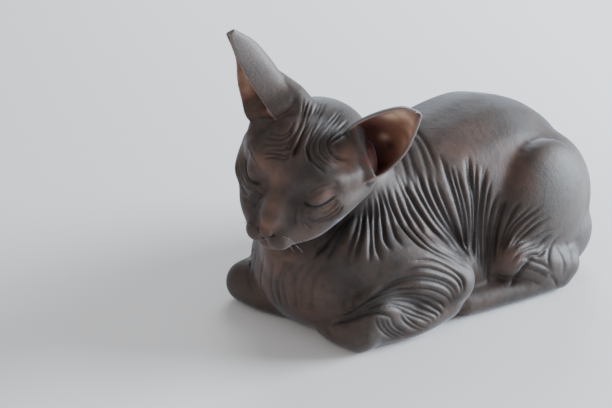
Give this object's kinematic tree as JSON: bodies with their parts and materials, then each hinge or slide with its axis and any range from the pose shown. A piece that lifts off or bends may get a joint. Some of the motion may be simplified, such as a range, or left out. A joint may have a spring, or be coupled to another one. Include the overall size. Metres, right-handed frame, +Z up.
{
  "type": "sphynx cat figure",
  "caption": "Life-size still figure of a young hairless cat lying in a loaf, forepaws tucked, head bowed to its left, eyes closed.",
  "frame": {"origin": "centre of the flat under the belly, on the floor", "axes": "+Z up, the cat faces -Y, its left side is towards +X"},
  "size_m": [0.1595, 0.2496, 0.1775],
  "materials": {
    "skin": "matt, with a faint sheen",
    "ear_skin": "matt, with a faint sheen",
    "eye": "gloss"
  },
  "bodies": {
    "root": {"head": "skin", "neck": "skin", "torso": "skin", "tail": "skin", "foreleg_left": "skin", "foreleg_right": "skin", "forepaw_left": "skin", "forepaw_right": "skin", "hindleg_left": "skin", "hindleg_right": "skin", "hindfoot_left": "skin", "hindfoot_right": "skin", "ear_left": "ear_skin", "ear_right": "ear_skin", "eye_left": "eye", "eye_right": "eye"}
  },
  "joints": []
}
